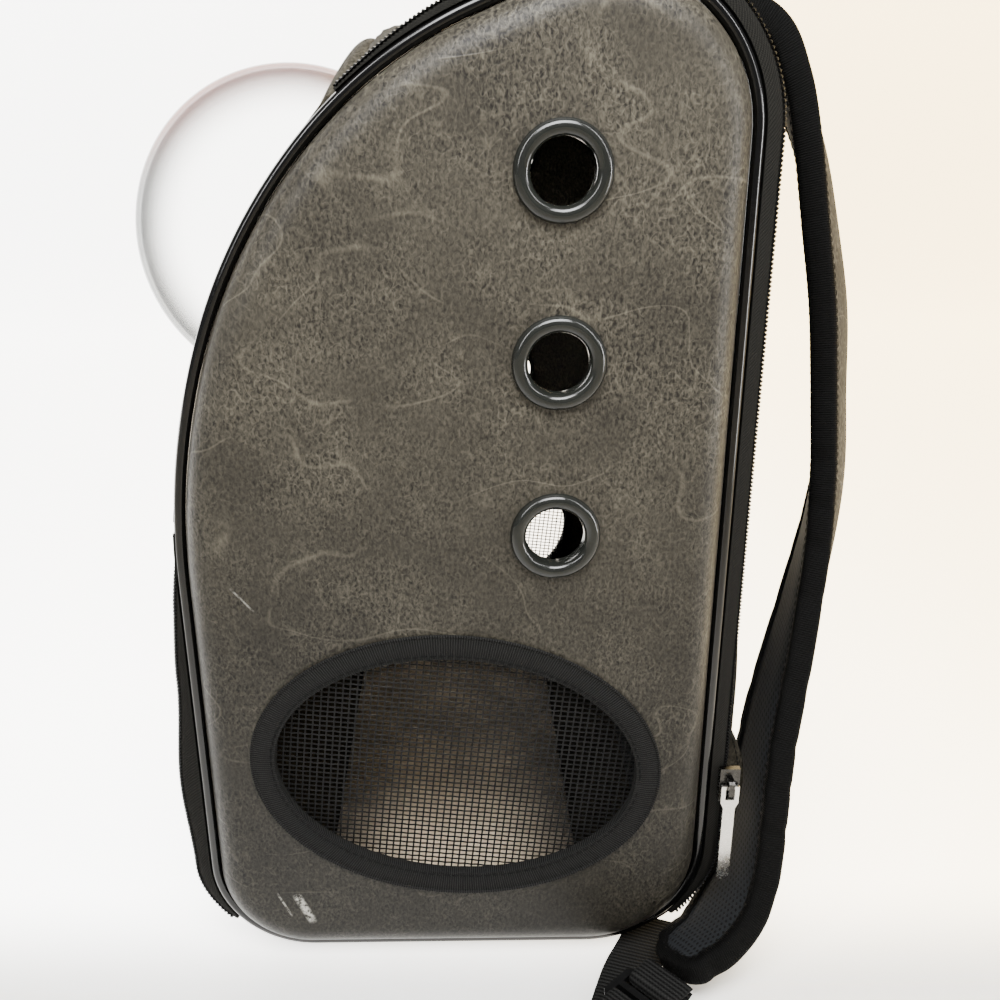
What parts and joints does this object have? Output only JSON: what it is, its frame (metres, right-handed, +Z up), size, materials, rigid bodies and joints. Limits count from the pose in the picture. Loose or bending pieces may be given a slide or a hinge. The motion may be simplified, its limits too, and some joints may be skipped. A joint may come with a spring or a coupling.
{
  "type": "pet carrier backpack",
  "caption": "Hard-sided pet carrier backpack with a clear bubble in its curved front, mesh side windows, ventilation eyelets and padded shoulder straps.",
  "frame": {"origin": "middle of the flat underside, on the floor", "axes": "+Z up, -Y towards the bubble, +Y towards the wearer's back, +X the wearer's right"},
  "size_m": [0.4572, 0.356, 0.4398],
  "materials": {
    "leather": "grey-brown crackled synthetic leather, satin",
    "piping": "glossy black vinyl",
    "cloth": "black air mesh cloth",
    "binding": "black ribbed tape",
    "zip": "black zip tape with black teeth",
    "mesh": "black open plastic-coated mesh",
    "floor_pad": "brown short pile",
    "dome": "clear acrylic",
    "eyelet": "glossy dark grey plastic",
    "metal": "gunmetal plating",
    "webbing": "black ribbed webbing",
    "lock": "black moulded plastic"
  },
  "bodies": {
    "carrier": {"front_panel": "leather", "base_panel": "leather", "bubble_ring": "leather", "side_panel_right": "leather", "side_panel_left": "leather", "strap_face_right": "leather", "strap_face_left": "leather", "piping_right": "piping", "piping_left": "piping", "back_panel": "cloth", "strap_pad_right": "cloth", "strap_pad_left": "cloth", "window_binding_right": "binding", "window_binding_left": "binding", "strap_binding_right": "binding", "strap_binding_left": "binding", "zip_main_right": "zip", "zip_main_left": "zip", "zip_front_right": "zip", "zip_front_left": "zip", "mesh_window_right": "mesh", "mesh_window_left": "mesh", "floor_pad": "floor_pad", "bubble_dome": "dome", "eyelet_right_1": "eyelet", "eyelet_right_2": "eyelet", "eyelet_right_3": "eyelet", "eyelet_left_1": "eyelet", "eyelet_left_2": "eyelet", "eyelet_left_3": "eyelet", "zip_slider_right": "metal", "zip_slider_left": "metal", "webbing_right": "webbing", "webbing_left": "webbing", "strap_tab_right": "webbing", "strap_tab_left": "webbing", "ladder_lock_right": "lock", "ladder_lock_left": "lock", "corner_tab_right": "leather", "corner_tab_left": "leather"},
    "pull_right": {"zip_pull_right": "metal"},
    "pull_left": {"zip_pull_left": "metal"}
  },
  "joints": [
    {"name": "pull_right_swing", "type": "hinge", "parent": "carrier", "child": "pull_right", "pos_m": [0.1512, 0.1273, 0.093], "axis": [0, -1, 0], "range_deg": [0, 170]},
    {"name": "pull_left_swing", "type": "hinge", "parent": "carrier", "child": "pull_left", "pos_m": [-0.1512, 0.1273, 0.093], "axis": [0, 1, 0], "range_deg": [0, 170]}
  ]
}
